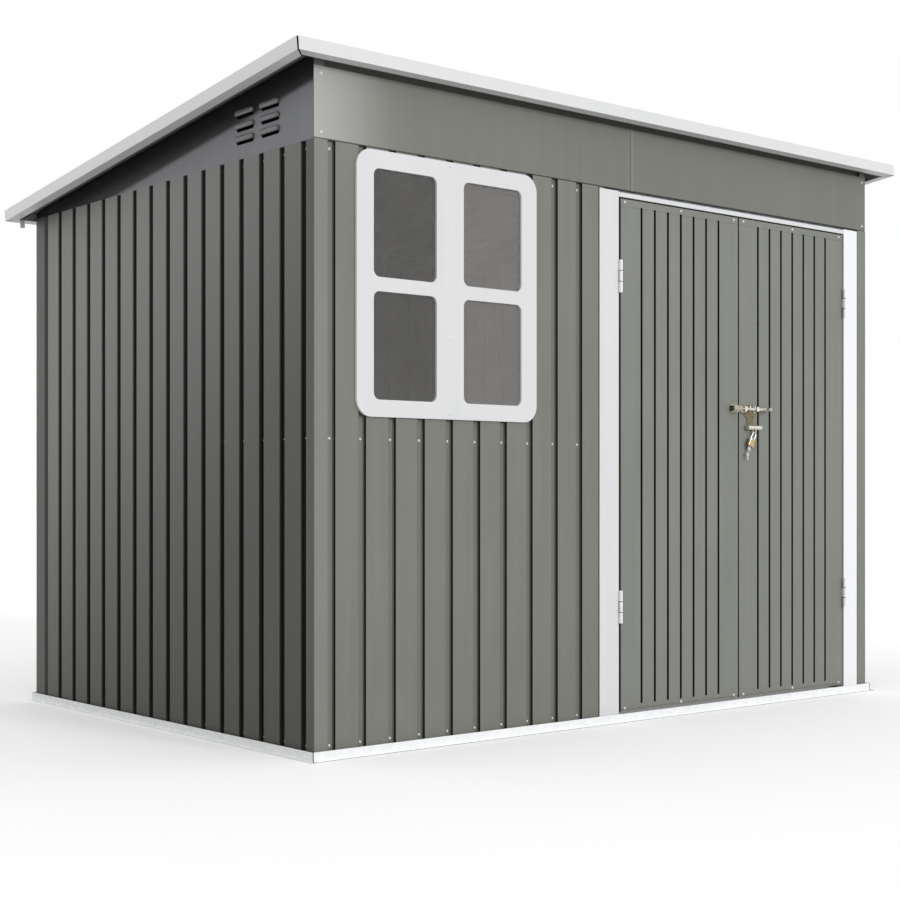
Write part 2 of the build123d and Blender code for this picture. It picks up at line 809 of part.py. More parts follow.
for start in (plate_foot_left, staple_left + staple_length - guide_width):
    latch_plate += block(
        start, start + guide_width, staple_y, 0,
        staple_height - staple_radius / 2, staple_height + staple_radius / 2,
    )
eye_place = Pos(staple_left + staple_length / 2, staple_y, staple_height - eye_drop)
eye = block(-eye_gauge / 2, eye_gauge / 2, -eye_radius, eye_radius, 0, eye_drop)
eye += Rot(0, 90, 0) * Cylinder(eye_radius, eye_gauge)
eye -= Rot(0, 90, 0) * Cylinder(eye_hole, eye_gauge + 2 * overrun)
latch_plate += eye_place * eye
save("latch_plate", latch_plate)

keeper_left = keeper_edge - keeper_inset - keeper_width
keeper = strap(keeper_left, keeper_left + keeper_width, bolt_keeper_gap)
keeper += block(
    keeper_left, keeper_left + keeper_width, -latch_plate_gauge, 0,
    bolt_height - keeper_height / 2, bolt_height + keeper_height / 2,
)
save("latch_keeper", keeper)

bolt_left = latch_edge + bolt_start
bolt_middle = Pos(bolt_left + bolt_length / 2, -bolt_proud, bolt_height)
bolt = bolt_middle * Rot(0, 90, 0) * Cylinder(bolt_radius, bolt_length)
knob = Rot(90, 0, 0) * Cylinder(bolt_knob_radius, bolt_knob_length)
bolt += bolt_middle * Pos(bolt_length * bolt_knob_place, -bolt_knob_length / 2, 0) * knob
save("latch_bolt", bolt)


# Padlock hanging in the eye, with its keys
def padlock():
    """Padlock whose shackle bow passes through the origin, hanging plumb in the XZ plane."""
    half = shackle_width / 2
    ring = Torus(half, shackle_radius)
    ring = Pos(0, 0, -half) * Rot(90, 0, 0) * ring
    ring -= block(-half * 2, half * 2, -half, half, -half * 3, -half)
    for side in (-half, half):
        ring += Pos(side, 0, -(half + shackle_rise) / 2) * Cylinder(shackle_radius, shackle_rise - half)
    outline = RectangleRounded(padlock_width, padlock_depth, padlock_corner)
    return ring + Pos(0, 0, -shackle_rise - padlock_height) * extrude(outline, amount=padlock_height)


def keys():
    """Key in the padlock's lower face, its ring and a second key; the face's middle is at the origin."""
    flat = Rot(90, 0, 0)
    head = Pos(0, 0, -key_head) * flat * Cylinder(key_head, key_gauge)
    ring_drop = Pos(0, 0, -2 * key_head - key_ring_radius / 2)
    ring = ring_drop * Rot(0, 90, 0) * Torus(key_ring_radius, key_ring_wire)
    return head + ring


def hanging_key():
    """Second key, hanging plumb from the middle of the ring's lowest point at the origin."""
    flat = Rot(90, 0, 0)
    neck = -key_head_small * 0.75
    head = Pos(0, 0, neck) * flat * Cylinder(key_head_small, key_gauge)
    blade = block(-key_width / 2, key_width / 2, -key_gauge / 2, key_gauge / 2, -key_length, neck)
    return head + blade


bow_drop = shackle_width / 2
shackle_drop = eye_hole - shackle_radius - seat + bow_drop
swing = eye_place * Pos(0, 0, -shackle_drop) * Rot(0, padlock_swing, 0) * Pos(0, 0, bow_drop)
save("padlock", swing * padlock())
key_face = swing * Pos(0, 0, -shackle_rise - padlock_height)
ring_foot = key_face * Pos(0, 0, -2 * key_head - key_ring_radius * 1.5)
plumb = Pos(*ring_foot.position)
save("keys", key_face * keys() + plumb * hanging_key())
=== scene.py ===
"""Lean-to tool shed of ribbed sheet steel: its finishes, screws and fittings, with a plain studio."""

import logging
import math
from dataclasses import dataclass
from enum import Enum

import bmesh
import bpy
from mathutils import Matrix, Vector


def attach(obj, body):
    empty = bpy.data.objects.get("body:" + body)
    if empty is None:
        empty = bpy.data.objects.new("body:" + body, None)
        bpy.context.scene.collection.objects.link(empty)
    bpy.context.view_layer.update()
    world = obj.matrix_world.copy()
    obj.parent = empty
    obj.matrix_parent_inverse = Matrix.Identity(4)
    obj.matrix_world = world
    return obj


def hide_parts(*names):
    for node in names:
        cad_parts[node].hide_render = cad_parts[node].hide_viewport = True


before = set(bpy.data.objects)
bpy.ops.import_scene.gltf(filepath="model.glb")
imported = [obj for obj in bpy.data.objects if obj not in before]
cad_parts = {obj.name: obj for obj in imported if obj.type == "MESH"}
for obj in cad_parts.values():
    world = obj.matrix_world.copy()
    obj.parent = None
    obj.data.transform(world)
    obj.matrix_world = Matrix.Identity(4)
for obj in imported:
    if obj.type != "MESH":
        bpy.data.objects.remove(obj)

LOG = logging.getLogger("tool_shed")
MM = 0.001
# Points closer than this many metres are one
MERGE = 1e-6

# Sizes shared with the steel frame, in millimetres from the front left wall corner at ground level
WALL_LENGTH = 2463.0
WALL_DEPTH = 1692.5
CENTRE_X = 1231.5
CENTRE_Y = 842.3924
RIB_PITCH = 104.4
FRONT_GROOVE = 45.5
SIDE_GROOVE = 36.5
BACK_GROOVE = 70.1
GROOVE_MIDDLE = 13.0
GROOVE_DEPTH = 12.0


def spot(x: float, y: float, z: float) -> Vector:
    """Point of the part's frame in metres, from shed coordinates in millimetres."""
    return Vector((x - CENTRE_X, y - CENTRE_Y, z)) * MM


class Body(Enum):
    """The moving bodies of the shed."""

    SHED = "shed"
    DOOR_LEFT = "door_left"
    DOOR_RIGHT = "door_right"
    BOLT = "bolt"


class Slot(Enum):
    """The record's material slots."""

    GREY = "grey_paint"
    WHITE = "white_paint"
    GALVANISED = "galvanised"
    BRIGHT = "bright_steel"


class Facing(Enum):
    """Outward direction of a wall, with the turn that points a screw head along it."""

    FRONT = ("X", 90.0)
    BACK = ("X", -90.0)
    LEFT = ("Y", -90.0)
    RIGHT = ("Y", 90.0)

    def turn(self) -> Matrix:
        """Rotation that takes +Z to this direction."""
        axis, angle = self.value
        return Matrix.Rotation(math.radians(angle), 4, axis)


class Axis(Enum):
    """A coordinate of the part's frame: its number, and the frame's zero on it in shed millimetres."""

    X = (0, CENTRE_X)
    Y = (1, CENTRE_Y)
    Z = (2, 0.0)

    def of(self, axes: bpy.types.Node) -> bpy.types.NodeSocket:
        """This coordinate's socket on a Separate XYZ node."""
        return axes.outputs[self.value[0]]

    def metres(self, place: float) -> float:
        """Place in the part's frame of a place in shed millimetres."""
        return (place - self.value[1]) * MM


def linear(hex_colour: str) -> tuple[float, float, float, float]:
    """Turn an sRGB hex colour to linear.

    Args:
        hex_colour: Six hex digits, such as "84857F".

    Returns:
        Red, green, blue and alpha.
    """
    channels = [int(hex_colour[i : i + 2], 16) / 255 for i in (0, 2, 4)]
    curve = [c / 12.92 if c <= 0.04045 else ((c + 0.055) / 1.055) ** 2.4 for c in channels]
    return (*curve, 1.0)


def add_node(
    tree: bpy.types.NodeTree, kind: str, inputs: dict[str | int, object] | None = None, **fields: object
) -> bpy.types.Node:
    """Add a node with its settings and links.

    Args:
        tree: Node tree that gets it.
        kind: Blender's name of the node type.
        inputs: Value or linked socket for each input, by name or number.
        fields: Settings of the node itself.

    Returns:
        The new node.
    """
    node = tree.nodes.new(kind)
    for name, value in fields.items():
        setattr(node, name, value)
    for key, value in (inputs or {}).items():
        if isinstance(value, bpy.types.NodeSocket):
            tree.links.new(value, node.inputs[key])
        else:
            node.inputs[key].default_value = value
    return node


# Finishes


@dataclass(frozen=True)
class Finish:
    """What every finish has: a name, and a Principled shader on the object's own coordinates."""

    name: str

    def start(self) -> tuple[bpy.types.Material, bpy.types.NodeTree, bpy.types.NodeSocket, bpy.types.Node]:
        """Make the empty material.

        Returns:
            The material, its node tree, the object coordinates and the shader.
        """
        material = bpy.data.materials.new(self.name)
        material.use_nodes = True
        tree = material.node_tree
        tree.nodes.clear()
        coords = add_node(tree, "ShaderNodeTexCoord").outputs["Object"]
        shader = add_node(tree, "ShaderNodeBsdfPrincipled")
        add_node(tree, "ShaderNodeOutputMaterial", {"Surface": shader.outputs["BSDF"]})
        return material, tree, coords, shader

    def build(self) -> bpy.types.Material:
        """Make the material; each kind of finish does this its own way."""
        raise NotImplementedError


class Groove(Enum):
    """The wall that has the grooves: the axis across it, the place of its face, and the sign inwards."""

    FRONT = (Axis.Y, 0.0, 1.0)
    BACK = (Axis.Y, WALL_DEPTH, -1.0)
    LEFT = (Axis.X, 0.0, 1.0)
    RIGHT = (Axis.X, WALL_LENGTH, -1.0)


@dataclass(frozen=True)
class ShadeLine:
    """Narrow band across one coordinate that stays dark, such as the far side of a groove.

    The band lies from start to end in shed millimetres, and comes back every pitch if a pitch is given.
    """

    axis: Axis
    start: float
    end: float
    share: float = 0.95
    pitch: float = 0.0

    def mask(self, tree: bpy.types.NodeTree, axes: bpy.types.Node) -> bpy.types.NodeSocket:
        """Add the nodes of the band.

        Args:
            tree: Node tree that gets them.
            axes: Separate XYZ node on the object's coordinates.

        Returns:
            The socket with the share of dark.
        """
        low = self.axis.metres(self.start)
        place = add_node(
            tree, "ShaderNodeMath", {0: self.axis.of(axes), 1: low}, operation="SUBTRACT"
        ).outputs[0]
        if self.pitch:
            place = add_node(
                tree, "ShaderNodeMath", {0: place, 1: self.pitch * MM}, operation="FLOORED_MODULO"
            ).outputs[0]
        half = (self.end - self.start) / 2 * MM
        inside = add_node(
            tree, "ShaderNodeMath", {0: place, 1: half, 2: half}, operation="COMPARE"
        ).outputs[0]
        return add_node(
            tree, "ShaderNodeMath", {0: inside, 1: self.share}, operation="MULTIPLY"
        ).outputs[0]


@dataclass(frozen=True)
class Ramp:
    """Smooth rise from none at start to the share at end, both in shed millimetres along one axis.

    A slope adds its part of the way from front to back, so that the rise follows the roof.
    """

    axis: Axis
    start: float
    end: float
    share: float
    slope: float = 0.0

    def mask(self, tree: bpy.types.NodeTree, axes: bpy.types.Node) -> bpy.types.NodeSocket:
        """Add the nodes of the rise.

        Args:
            tree: Node tree that gets them.
            axes: Separate XYZ node on the object's coordinates.

        Returns:
            The socket with the share.
        """
        place = self.axis.of(axes)
        if self.slope:
            way_back = add_node(
                tree, "ShaderNodeMath", {0: Axis.Y.of(axes), 1: CENTRE_Y * MM}, operation="ADD"
            ).outputs[0]
            place = add_node(
                tree, "ShaderNodeMath", {0: way_back, 1: self.slope, 2: place}, operation="MULTIPLY_ADD"
            ).outputs[0]
        return add_node(
            tree,
            "ShaderNodeMapRange",
            {
                "Value": place,
                "From Min": self.axis.metres(self.start),
                "From Max": self.axis.metres(self.end),
                "To Max": self.share,
            },
            interpolation_type="SMOOTHSTEP",
        ).outputs[0]


@dataclass(frozen=True)
class Shade:
    """Colour that comes in along a ramp. On the painted sheets it is painted light or shade; on the latch
    plate it pales the relief, and on the padlock it is the shackle's steel.
    """

    colour: str
    ramp: Ramp


# What folds, gaps and undersides go to where no light reaches
UNLIT = "050505"


@dataclass(frozen=True)
class CoatedSheet(Finish):
    """Polyester paint on rolled steel sheet: an even satin coat, a little wavy, with dust low down.

    Lengths are in millimetres. The groove values are depths under the wall's face, over which the grooves
    get painted shade; the shades and lines paint light and shade too.
    """

    colour: str = "75776F"
    pale: str = "7A7C74"
    dirt: str = "615D52"
    # The groove colour and share paint shade into the grooves, darker with depth under the face
    groove_shade_colour: str = "2B2C29"
    roughness: float = 0.42
    sheen: float = 0.35
    groove: Groove | None = None
    groove_start: float = 2.0
    groove_end: float = 11.0
    groove_shade_share: float = 0.0
    dirt_foot: float = 20.0
    dirt_height: float = 90.0
    dirt_share: float = 0.12
    patch: float = 350.0
    streak_width: float = 25.0
    streak_length: float = 600.0
    peel: float = 2.0
    peel_relief: float = 0.2
    wave: float = 0.04
    wave_relief: float = 20.0
    lines: tuple[ShadeLine, ...] = ()
    shades: tuple[Shade, ...] = ()

    def groove_shade_mask(self, tree: bpy.types.NodeTree, axes: bpy.types.Node) -> bpy.types.NodeSocket:
        """Add the nodes of the painted shade in the grooves, darker with their depth.

        Args:
            tree: Node tree that gets them.
            axes: Separate XYZ node on the object's coordinates.

        Returns:
            The socket with the share of the painted groove shade.
        """
        axis, face, inwards = self.groove.value
        return add_node(
            tree,
            "ShaderNodeMapRange",
            {
                "Value": axis.of(axes),
                "From Min": axis.metres(face + inwards * self.groove_start),
                "From Max": axis.metres(face + inwards * self.groove_end),
                "To Max": self.groove_shade_share,
            },
        ).outputs[0]

    def dust_mask(
        self, tree: bpy.types.NodeTree, axes: bpy.types.Node, streaks: bpy.types.NodeSocket
    ) -> bpy.types.NodeSocket:
        """Add the nodes of the splashed dust, which fades out above the ground.

        Args:
            tree: Node tree that gets them.
            axes: Separate XYZ node on the object's coordinates.
            streaks: Pattern that breaks the dust up.

        Returns:
            The socket with the share of dust.
        """
        low = add_node(
            tree,
            "ShaderNodeMapRange",
            {
                "Value": Axis.Z.of(axes),
                "From Min": self.dirt_foot * MM,
                "From Max": self.dirt_height * MM,
                "To Min": 1.0,
                "To Max": 0.0,
            },
        )
        splash = add_node(tree, "ShaderNodeMath", {0: low.outputs[0], 1: streaks}, operation="MULTIPLY")
        # The streaks are a half on average, so the share is doubled
        return add_node(
            tree, "ShaderNodeMath", {0: splash.outputs[0], 1: self.dirt_share * 2}, operation="MULTIPLY"
        ).outputs[0]

    def build(self) -> bpy.types.Material:
        """Make the material.

        Returns:
            The painted sheet's material.
        """
        material, tree, coords, shader = self.start()
        axes = add_node(tree, "ShaderNodeSeparateXYZ", {"Vector": coords})
        # Soft patches, as on a sheet that was handled
        patches = add_node(
            tree,
            "ShaderNodeTexNoise",
            {"Vector": coords, "Scale": 1 / (self.patch * MM), "Detail": 3.0, "Roughness": 0.55},
        ).outputs["Fac"]
        # Rain streaks, long and narrow down the wall
        across = 1 / (self.streak_width * MM)
        stretched = add_node(
            tree,
            "ShaderNodeMapping",
            {"Vector": coords, "Scale": (across, across, 1 / (self.streak_length * MM))},
        )
        streaks = add_node(
            tree, "ShaderNodeTexNoise", {"Vector": stretched.outputs[0], "Scale": 1.0, "Detail": 2.0}
        ).outputs["Fac"]
        both = add_node(tree, "ShaderNodeMath", {0: patches, 1: streaks}, operation="ADD")
        mottle = add_node(
            tree, "ShaderNodeMapRange", {"Value": both.outputs[0], "From Min": 0.75, "From Max": 1.25}
        )
        # Over the coat: pale mottle, the shades (painted light and shade), painted shade in the grooves,
        # dust, and the shade lines
        layers = [(mottle.outputs[0], self.pale)]
        layers += [(shade.ramp.mask(tree, axes), shade.colour) for shade in self.shades]
        if self.groove:
            layers.append((self.groove_shade_mask(tree, axes), self.groove_shade_colour))
        layers.append((self.dust_mask(tree, axes, streaks), self.dirt))
        layers += [(line.mask(tree, axes), UNLIT) for line in self.lines]
        coat = linear(self.colour)
        for share, colour in layers:
            coat = add_node(
                tree, "ShaderNodeMix", {"Factor": share, "A": coat, "B": linear(colour)}, data_type="RGBA"
            ).outputs["Result"]
        # Orange peel of the coat, and the sheet's own slow waves
        peel = add_node(
            tree, "ShaderNodeTexNoise", {"Vector": coords, "Scale": 1 / (self.peel * MM), "Detail": 1.0}
        )
        fine = add_node(
            tree,
            "ShaderNodeBump",
            {"Height": peel.outputs["Fac"], "Strength": 0.05, "Distance": self.peel_relief * MM},
        )
        slow = add_node(
            tree,
            "ShaderNodeBump",
            {
                "Height": patches,
                "Strength": self.wave,
                "Distance": self.wave_relief * MM,
                "Normal": fine.outputs[0],
            },
        )
        tree.links.new(coat, shader.inputs["Base Color"])
        tree.links.new(slow.outputs[0], shader.inputs["Normal"])
        shader.inputs["Roughness"].default_value = self.roughness
        shader.inputs["IOR"].default_value = 1.5
        shader.inputs["Specular IOR Level"].default_value = self.sheen
        return material


@dataclass(frozen=True)
class ZincSheet(Finish):
    """Hot-dip galvanised steel: pale zinc whose flat crystals differ a little in tone and gloss.

    The crystal size is in millimetres.
    """

    colour: str = "FAFBFC"
    dull: str = "F1F3F4"
    roughness: float = 0.38
    crystal: float = 14.0
    metallic: float = 0.2
    lines: tuple[ShadeLine, ...] = ()

    def build(self) -> bpy.types.Material:
        """Make the material.

        Returns:
            The galvanised sheet's material.
        """
        material, tree, coords, shader = self.start()
        axes = add_node(tree, "ShaderNodeSeparateXYZ", {"Vector": coords})
        cells = add_node(
            tree,
            "ShaderNodeTexVoronoi",
            {"Vector": coords, "Scale": 1 / (self.crystal * MM), "Randomness": 1.0},
        )
        tone = add_node(tree, "ShaderNodeSeparateColor", {"Color": cells.outputs["Color"]})
        rough = add_node(
            tree,
            "ShaderNodeMapRange",
            {
                "Value": tone.outputs["Green"],
                "To Min": self.roughness - 0.1,
                "To Max": self.roughness + 0.12,
            },
        )
        layers = [(tone.outputs["Red"], self.colour)]
        layers += [(line.mask(tree, axes), UNLIT) for line in self.lines]
        zinc = linear(self.dull)
        for share, colour in layers:
            zinc = add_node(
                tree, "ShaderNodeMix", {"Factor": share, "A": zinc, "B": linear(colour)}, data_type="RGBA"
            ).outputs["Result"]
        tree.links.new(zinc, shader.inputs["Base Color"])
        tree.links.new(rough.outputs[0], shader.inputs["Roughness"])
        shader.inputs["Metallic"].default_value = self.metallic
        return material


@dataclass(frozen=True)
class WorkedMetal(Finish):
    """Solid metal fitting: an even colour that stains a little, with fine draw marks.

    Lengths are in millimetres. Real draw marks are finer than 0.6 mm, and are drawn as coarse as
    that so that they still show.
    """

    colour: str = "C8C6C0"
    stain: str = "8F8B80"
    roughness: float = 0.2
    metallic: float = 1.0
    stain_size: float = 8.0
    grain: float = 0.6
    grain_length: float = 30.0
    grain_relief: float = 0.2
    shades: tuple[Shade, ...] = ()

    def build(self) -> bpy.types.Material:
        """Make the material.

        Returns:
            The fitting's material.
        """
        material, tree, coords, shader = self.start()
        axes = add_node(tree, "ShaderNodeSeparateXYZ", {"Vector": coords})
        patches = add_node(
            tree,
            "ShaderNodeTexNoise",
            {"Vector": coords, "Scale": 1 / (self.stain_size * MM), "Detail": 3.0},
        )
        stained = add_node(
            tree,
            "ShaderNodeMapRange",
            {"Value": patches.outputs["Fac"], "From Min": 0.45, "From Max": 0.75},
        )
        layers = [(stained.outputs[0], self.stain)]
        layers += [(shade.ramp.mask(tree, axes), shade.colour) for shade in self.shades]
        metal = linear(self.colour)
        for share, colour in layers:
            metal = add_node(
                tree, "ShaderNodeMix", {"Factor": share, "A": metal, "B": linear(colour)}, data_type="RGBA"
            ).outputs["Result"]
        # Draw marks run along the fitting
        across = 1 / (self.grain * MM)
        stretched = add_node(
            tree,
            "ShaderNodeMapping",
            {"Vector": coords, "Scale": (1 / (self.grain_length * MM), across, across)},
        )
        marks = add_node(
            tree, "ShaderNodeTexNoise", {"Vector": stretched.outputs[0], "Scale": 1.0, "Detail": 1.0}
        )
        bump = add_node(
            tree,
            "ShaderNodeBump",
            {"Height": marks.outputs["Fac"], "Strength": 0.15, "Distance": self.grain_relief * MM},
        )
        tree.links.new(metal, shader.inputs["Base Color"])
        tree.links.new(bump.outputs[0], shader.inputs["Normal"])
        shader.inputs["Roughness"].default_value = self.roughness
        shader.inputs["Metallic"].default_value = self.metallic
        return material


@dataclass(frozen=True)
class ClearSheet(Finish):
    """Clear plastic pane: nearly colourless, with a thin film of dust that greys it.

    Towards the right the panes let less through and look paler, over a band given in shed millimetres.
    The film's patches are in millimetres too.
    """

    colour: str = "E9E6E2"
    roughness: float = 0.03
    ior: float = 1.49
    film: float = 120.0
    dust_share: float = 0.03
    paler_start: float = 440.0
    paler_end: float = 520.0
    paler_share: float = 0.085

    def build(self) -> bpy.types.Material:
        """Make the material.

        Returns:
            The pane's material.
        """
        material, tree, coords, shader = self.start()
        axes = add_node(tree, "ShaderNodeSeparateXYZ", {"Vector": coords})
        film = add_node(
            tree, "ShaderNodeTexNoise", {"Vector": coords, "Scale": 1 / (self.film * MM), "Detail": 3.0}
        )
        clean = add_node(
            tree,
            "ShaderNodeMapRange",
            {
                "Value": film.outputs["Fac"],
                "From Min": 0.3,
                "From Max": 0.7,
                "To Min": 1.0 - self.dust_share * 1.3,
                "To Max": 1.0 - self.dust_share * 0.7,
            },
        )
        # Less clear towards the right, so that the right panes look paler
        paler = Ramp(Axis.X, self.paler_start, self.paler_end, self.paler_share).mask(tree, axes)
        clear = add_node(tree, "ShaderNodeMath", {0: clean.outputs[0], 1: paler}, operation="SUBTRACT")
        tree.links.new(clear.outputs[0], shader.inputs["Transmission Weight"])
        shader.inputs["Base Color"].default_value = linear(self.colour)
        shader.inputs["Roughness"].default_value = self.roughness
        shader.inputs["IOR"].default_value = self.ior
        return material


@dataclass(frozen=True)
class StudioGround(Finish):
    """Pale matt floor that reads as white paper where the camera sees it.

    The bounce colour is what the floor throws back at the shed, and only the camera sees the glow.
    """

    colour: str = "F7F7F7"
    bounce: str = "C8C8C8"
    glow: float = 0.21

    def build(self) -> bpy.types.Material:
        """Make the material.

        Returns:
            The floor's material.
        """
        material, tree, _, shader = self.start()
        path = add_node(tree, "ShaderNodeLightPath")
        seen = add_node(
            tree,
            "ShaderNodeMix",
            {
                "Factor": path.outputs["Is Diffuse Ray"],
                "A": linear(self.colour),
                "B": linear(self.bounce),
            },
            data_type="RGBA",
        )
        tree.links.new(seen.outputs["Result"], shader.inputs["Base Color"])
        tree.links.new(path.outputs["Is Camera Ray"], shader.inputs["Emission Color"])
        shader.inputs["Emission Strength"].default_value = self.glow
        shader.inputs["Roughness"].default_value = 0.9
        shader.inputs["Specular IOR Level"].default_value = 0.1
        return material


class FinishShelf:
    """Builds each finish once and hands it out."""

    def __init__(self) -> None:
        """Start with no material made."""
        self.made: dict[str, bpy.types.Material] = {}

    def get(self, finish: Finish) -> bpy.types.Material:
        """Hand out a finish's material, built on first use.

        Args:
            finish: The finish that is wanted.

        Returns:
            Its material.
        """
        if finish.name not in self.made:
            self.made[finish.name] = finish.build()
        return self.made[finish.name]


# Bands that stay dark, from and to in shed millimetres, or from a groove's start
GROOVE_NEAR_FOLD = (-1.2, 0.2)
GROOVE_FAR_SIDE = (24.5, 26.1)
WALL_BY_JAMB = (1081.5, 1085.4)
HINGE_GAP = (1177.0, 1182.4)
RIGHT_DOOR_EDGE = (2323.2, 2325.2)
DOOR_FOOT_FOLD = (36.6, 38.2)
DOOR_HEAD_FOLD = (1633.8, 1635.6)
FRIEZE_FOOT = (1684.8, 1687.6)
POST_BY_JAMB = (2412.8, 2415.4)
TRIM_LIP = (1888.5, 1890.1)
RAIL_LEFT_END = (-13.0, -8.6)
RAIL_RIGHT_END = (2471.5, 2476.0)
RAIL_FOOT = (-1.0, 1.0)

# Changes of tone, from and to in shed millimetres: painted light on the left wall, a painted highlight
# on the frieze, painted shadow under the gable's roof and painted shade on the post's left face;
# then the latch plate's paler relief and the padlock's steel shackle
LEFT_WALL_PAINTED_LIGHT = (680.0, 2500.0)
FRIEZE_HIGHLIGHT = (330.0, -40.0)
GABLE_PAINTED_SHADOW = (1830.0, 1850.0)
POST_PAINTED_SHADE = (2.0, 0.9)
PLATE_RELIEF = (-1.9, -2.8)
SHACKLE_FOOT = (906.0, 911.0)

# Heights of the hinges' middles, the knuckle joints below and above a middle, and a joint's height
HINGE_MIDDLES = (364.0, 1410.0)
KNUCKLE_JOINTS = (-17.2, 17.2)
KNUCKLE_GAP = 2.6

FRONT_GREY = CoatedSheet(
    name="front_wall_grey",
    lines=(
        ShadeLine(Axis.X, *(FRONT_GROOVE + edge for edge in GROOVE_FAR_SIDE), pitch=RIB_PITCH),
        ShadeLine(Axis.X, *(FRONT_GROOVE + edge for edge in GROOVE_NEAR_FOLD), share=0.45, pitch=RIB_PITCH),
        ShadeLine(Axis.X, *WALL_BY_JAMB, share=0.9),
    ),
)
# Painted shade: the door grooves near black, and the hinge gap, free edge and folds as shade lines
DOOR_GREY = CoatedSheet(
    name="door_grey", colour="7C7E78", pale="81837D",
    groove=Groove.FRONT, groove_start=0.3, groove_end=1.6, groove_shade_share=0.98, groove_shade_colour="040404",
    lines=(
        ShadeLine(Axis.X, *HINGE_GAP),
        ShadeLine(Axis.X, *RIGHT_DOOR_EDGE, share=0.8),
        ShadeLine(Axis.Z, *DOOR_FOOT_FOLD, share=0.5),
        ShadeLine(Axis.Z, *DOOR_HEAD_FOLD, share=0.3),
    ),
)
# Painted shade: the left wall's paint is darker than the right wall's, and painted light pales it towards
# the back and the top; its grooves get painted shade
SIDE_GREY_LEFT = CoatedSheet(
    name="left_wall_grey", colour="4E504B", pale="50524D",
    groove=Groove.LEFT, groove_start=0.8, groove_end=5.0, groove_shade_share=0.9, groove_shade_colour="101110",
    shades=(Shade("848682", Ramp(Axis.Z, *LEFT_WALL_PAINTED_LIGHT, share=1.0, slope=0.7)),),
)
# Painted shade in the grooves of the right and back walls
SIDE_GREY_RIGHT = CoatedSheet(
    name="right_wall_grey",
    groove=Groove.RIGHT, groove_start=0.8, groove_end=5.0, groove_shade_share=0.6, groove_shade_colour="101110",
)
BACK_GREY = CoatedSheet(name="back_wall_grey", groove=Groove.BACK, groove_shade_share=0.4)
FRIEZE_GREY = CoatedSheet(
    name="frieze_grey", colour="71736B", pale="75776F",
    shades=(Shade("B4B4B0", Ramp(Axis.X, *FRIEZE_HIGHLIGHT, share=0.85)),),
    lines=(ShadeLine(Axis.Z, *FRIEZE_FOOT, share=0.75),),
)
# Painted shadow of the roof's overhang: a near black band along the top that follows the roof
GABLE_GREY = CoatedSheet(
    name="gable_grey", colour="7E7F83", pale="828387",
    shades=(Shade("060606", Ramp(Axis.Z, *GABLE_PAINTED_SHADOW, share=0.97, slope=0.14)),),
)
HOOD_GREY = CoatedSheet(
    name="louvre_hood_grey", colour="6E706C", pale="74767A", roughness=0.28, sheen=0.6
)
# Painted shade on the outer face of the left leg, and a shade line beside the jamb
POST_GREY = CoatedSheet(
    name="post_grey", colour="7B7D77", pale="80827C",
    shades=(Shade("4A4C48", Ramp(Axis.X, *POST_PAINTED_SHADE, share=0.8)),),
    lines=(ShadeLine(Axis.X, *POST_BY_JAMB, share=0.7),),
)
ROOF_GREY = CoatedSheet(name="roof_grey", colour="75776F", pale="7A7C74", wave=0.08)
WHITE_COAT = CoatedSheet(
    name="white_coat", colour="DCDDDE", pale="E0E0E1", dirt="C4C1B8", dirt_share=0.1,
    roughness=0.36, wave=0.03,
)
# Painted light: the side trims get a paler white than the front trim, to lighten their shaded faces
TRIM_WHITE = CoatedSheet(
    name="trim_white", colour="EEEFF0", pale="F0F0F1", dirt_share=0.0, roughness=0.36, wave=0.03
)
FRONT_TRIM_WHITE = CoatedSheet(
    name="front_trim_white", colour="DCDDDE", pale="E0E0E1", dirt_share=0.0, roughness=0.36, wave=0.03,
    lines=(ShadeLine(Axis.Z, *TRIM_LIP),),
)
# Painted light: a paler white for the right jamb, which stands in full light, and for the back trim's tab,
# which is in shade
LIT_WHITE = CoatedSheet(
    name="lit_white", colour="F4F5F6", pale="F6F6F7", dirt="C4C1B8", dirt_share=0.1,
    roughness=0.36, wave=0.03,
)
# Painted light: the hinges get the same paler white; their knuckle joints are shade lines
HINGE_WHITE = CoatedSheet(
    name="hinge_white", colour="F4F5F6", pale="F6F6F7", dirt_share=0.0, roughness=0.36, wave=0.0,
    lines=tuple(
        ShadeLine(
            Axis.Z, middle + joint - KNUCKLE_GAP / 2, middle + joint + KNUCKLE_GAP / 2, share=0.75
        )
        for middle in HINGE_MIDDLES
        for joint in KNUCKLE_JOINTS
    ),
)
GALVANISED = ZincSheet(name="galvanised_steel")
FRONT_RAIL_ZINC = ZincSheet(
    name="front_rail_zinc",
    lines=(
        ShadeLine(Axis.X, *RAIL_LEFT_END),
        ShadeLine(Axis.X, *RAIL_RIGHT_END),
        ShadeLine(Axis.Z, *RAIL_FOOT, share=0.7),
    ),
)
INNER_GALVANISED = ZincSheet(
    name="inner_galvanised_steel", colour="B4B9BE", dull="9CA1A6", metallic=0.6
)
PANE = ClearSheet(name="clear_pane")
BRIGHT = WorkedMetal(name="bright_plated_steel", colour="E4E1D8", stain="9A9274", roughness=0.14)
KEEPER_STEEL = WorkedMetal(name="keeper_steel", colour="BDB8A6", stain="5E5844", roughness=0.2)
YELLOW_ZINC = WorkedMetal(
    name="yellow_passivated_zinc", colour="7E765E", stain="565040", roughness=0.26,
    shades=(Shade("E8E5DC", Ramp(Axis.Y, *PLATE_RELIEF, share=0.9)),),
)
BRASS = WorkedMetal(
    name="brass", colour="C9B08C", stain="9A7C52", roughness=0.24,
    shades=(Shade("DCDDDE", Ramp(Axis.Z, *SHACKLE_FOOT, share=1.0)),),
)
NICKEL = WorkedMetal(name="nickel_plated_key", colour="D5D6D8", stain="B3B4B6", roughness=0.22)
SCREW_ZINC = WorkedMetal(
    name="zinc_plated_screw", colour="F6F7F8", stain="DCDEE0", roughness=0.4, metallic=0.25
)

